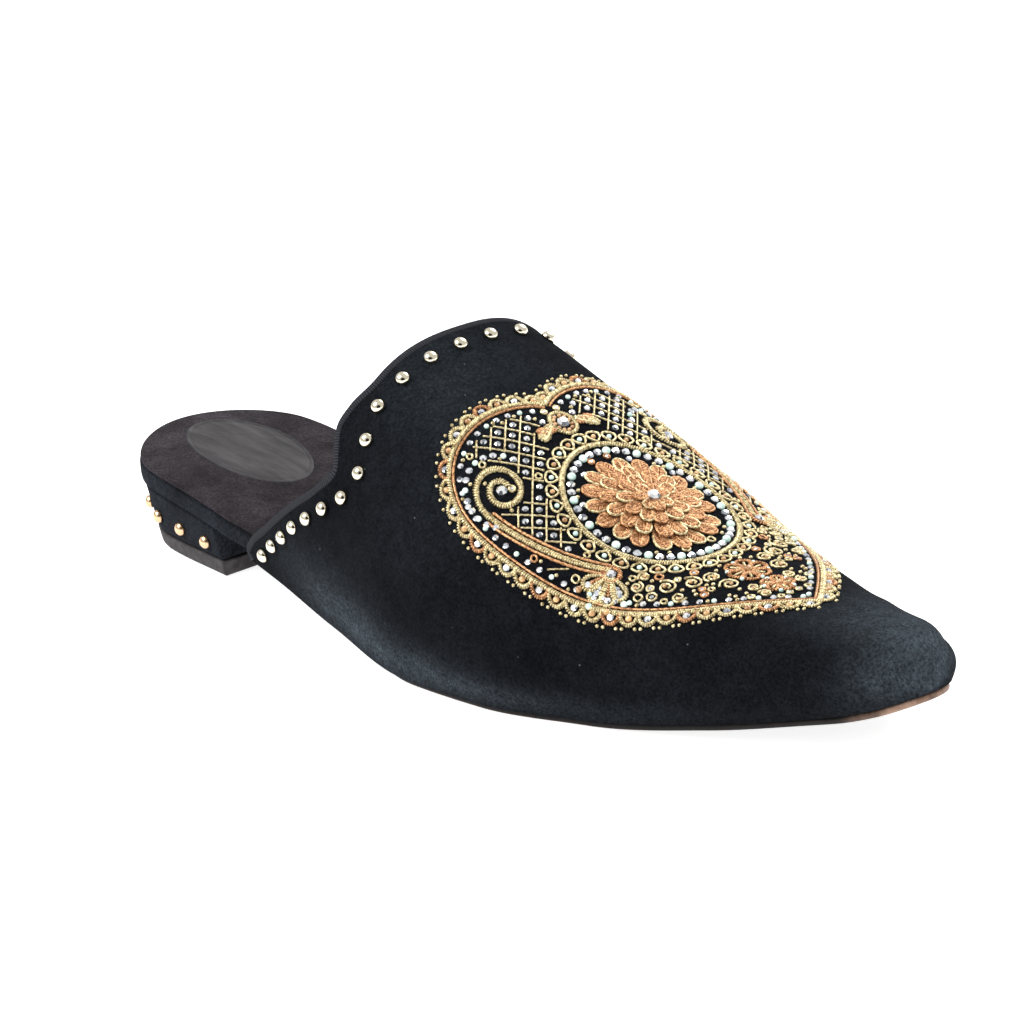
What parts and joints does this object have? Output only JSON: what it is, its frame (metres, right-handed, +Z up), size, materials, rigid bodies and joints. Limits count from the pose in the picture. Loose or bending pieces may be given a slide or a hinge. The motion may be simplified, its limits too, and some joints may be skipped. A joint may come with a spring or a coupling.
{
  "type": "pointed mule",
  "caption": "Backless pointed mule for the right foot with a suede upper, studded collar, wrapped footbed, thin leather sole and low covered heel.",
  "frame": {"origin": "centre of the bounding box, on the floor under the shoe", "axes": "+X towards the toe, +Y towards the inner side of the foot, +Z up"},
  "size_m": [0.266, 0.0886, 0.069],
  "materials": {
    "suede": "brushed nap, near-black navy",
    "wrap_suede": "brushed nap, near-black",
    "heel_suede": "brushed nap, near-black",
    "sock": "matte brown-black lining",
    "sole_leather": "dark stained edge",
    "heel_rubber": "matte",
    "stud_metal": "polished pale gold"
  },
  "bodies": {
    "root": {"collar_stud_01": "stud_metal", "collar_stud_02": "stud_metal", "collar_stud_03": "stud_metal", "collar_stud_04": "stud_metal", "collar_stud_05": "stud_metal", "collar_stud_06": "stud_metal", "collar_stud_07": "stud_metal", "collar_stud_08": "stud_metal", "collar_stud_09": "stud_metal", "collar_stud_10": "stud_metal", "collar_stud_11": "stud_metal", "collar_stud_12": "stud_metal", "collar_stud_13": "stud_metal", "collar_stud_14": "stud_metal", "collar_stud_15": "stud_metal", "collar_stud_16": "stud_metal", "collar_stud_17": "stud_metal", "collar_stud_18": "stud_metal", "collar_stud_19": "stud_metal", "collar_stud_20": "stud_metal", "collar_stud_21": "stud_metal", "collar_stud_22": "stud_metal", "collar_stud_23": "stud_metal", "collar_stud_24": "stud_metal", "collar_stud_25": "stud_metal", "footbed": "wrap_suede", "heel": "heel_suede", "heel_stud_01": "stud_metal", "heel_stud_02": "stud_metal", "heel_stud_03": "stud_metal", "heel_stud_04": "stud_metal", "heel_stud_05": "stud_metal", "heel_stud_06": "stud_metal", "heel_stud_07": "stud_metal", "heel_stud_08": "stud_metal", "heel_stud_09": "stud_metal", "heel_stud_10": "stud_metal", "heel_stud_11": "stud_metal", "insole": "sock", "outsole": "sole_leather", "top_piece": "heel_rubber", "upper": "suede"}
  },
  "joints": []
}
